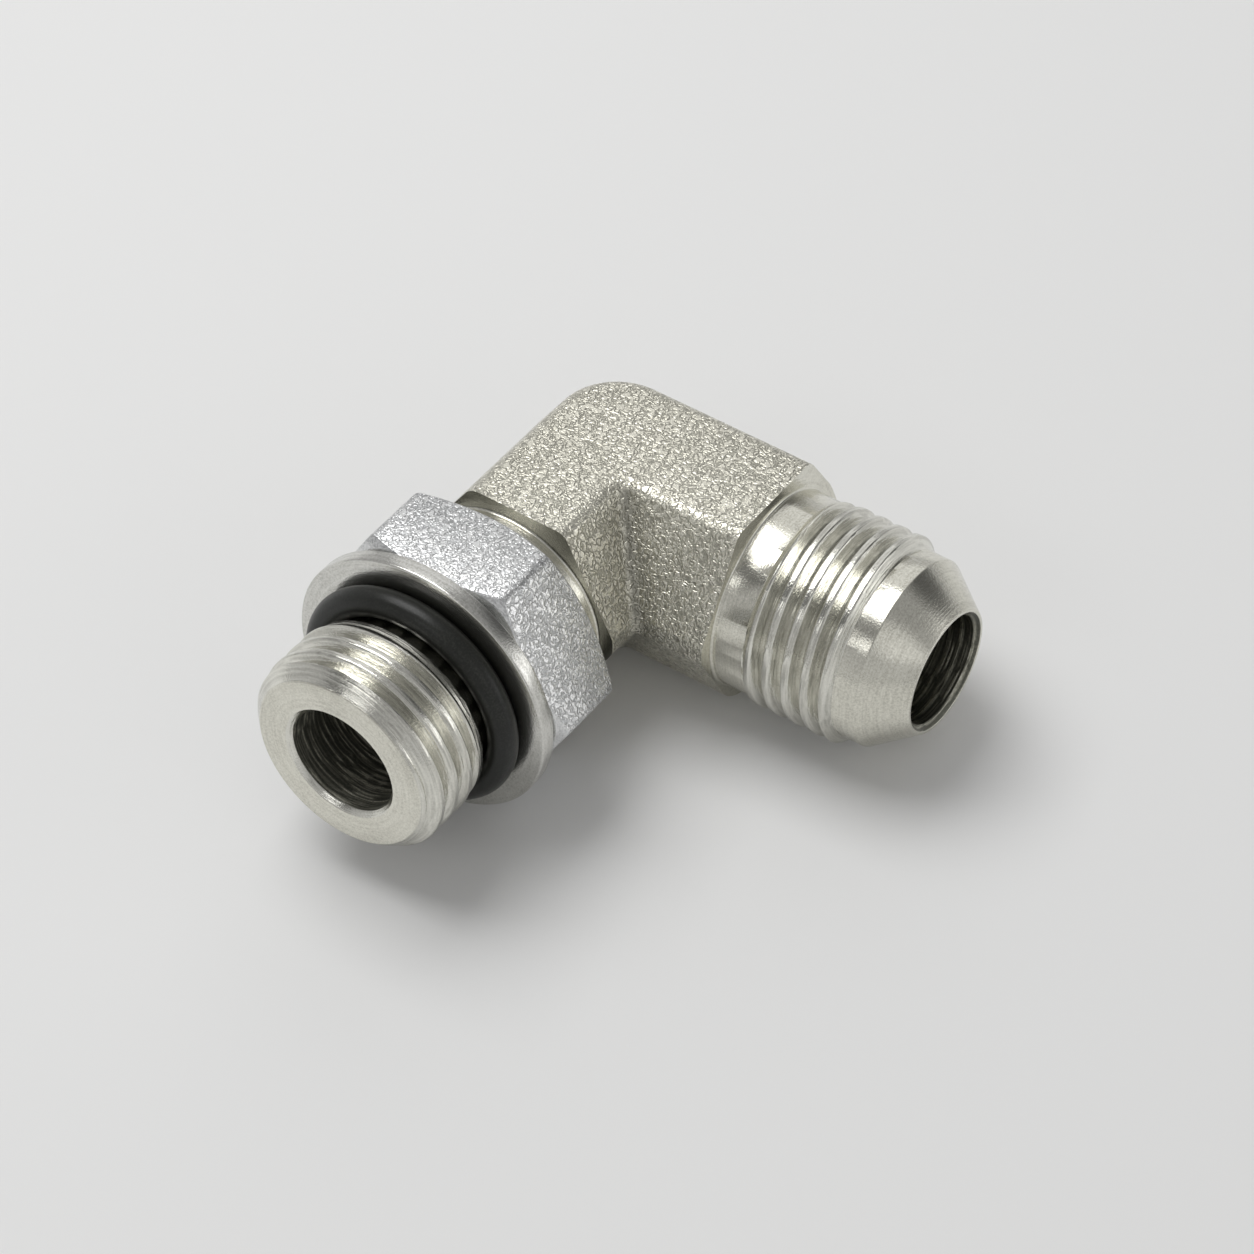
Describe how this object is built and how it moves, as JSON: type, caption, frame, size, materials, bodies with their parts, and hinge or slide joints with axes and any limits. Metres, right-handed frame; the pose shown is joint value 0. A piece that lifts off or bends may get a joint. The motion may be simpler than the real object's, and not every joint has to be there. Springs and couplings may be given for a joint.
{
  "type": "adjustable elbow fitting",
  "caption": "Right-angle tube elbow with a flared male end and an adjustable port stud that carries a lock nut, a back-up washer and an O-ring.",
  "frame": {"origin": "where the axes of the two flow bores cross", "axes": "+X along the flared end's axis towards its nose, -Y along the port stud's axis towards its tip, +Z square to both, out of the top wrench face"},
  "size_m": [0.0363, 0.0368, 0.0188],
  "materials": {
    "body_plating": "blasted forged skin with bright turned ends",
    "nut_plating": "blasted flats with smooth chamfers",
    "washer_plating": "satin",
    "seal_rubber": "soft sheen"
  },
  "bodies": {
    "fitting": {"elbow_body": "body_plating"},
    "seal_set": {"backup_washer": "washer_plating", "o_ring": "seal_rubber"},
    "nut": {"lock_nut": "nut_plating"}
  },
  "joints": [
    {"name": "seal_travel", "type": "slide", "parent": "fitting", "child": "seal_set", "axis": [0, -1, 0], "range_m": [0, 0.0007]},
    {"name": "nut_turn", "type": "hinge", "parent": "seal_set", "child": "nut", "pos_m": [0, -0.0157, 0], "axis": [0, -1, 0], "range_deg": [0, 178]}
  ],
  "couplings": [
    {"joint": "seal_travel", "follows": "nut_turn", "m_per_rad": 0.00022459}
  ]
}
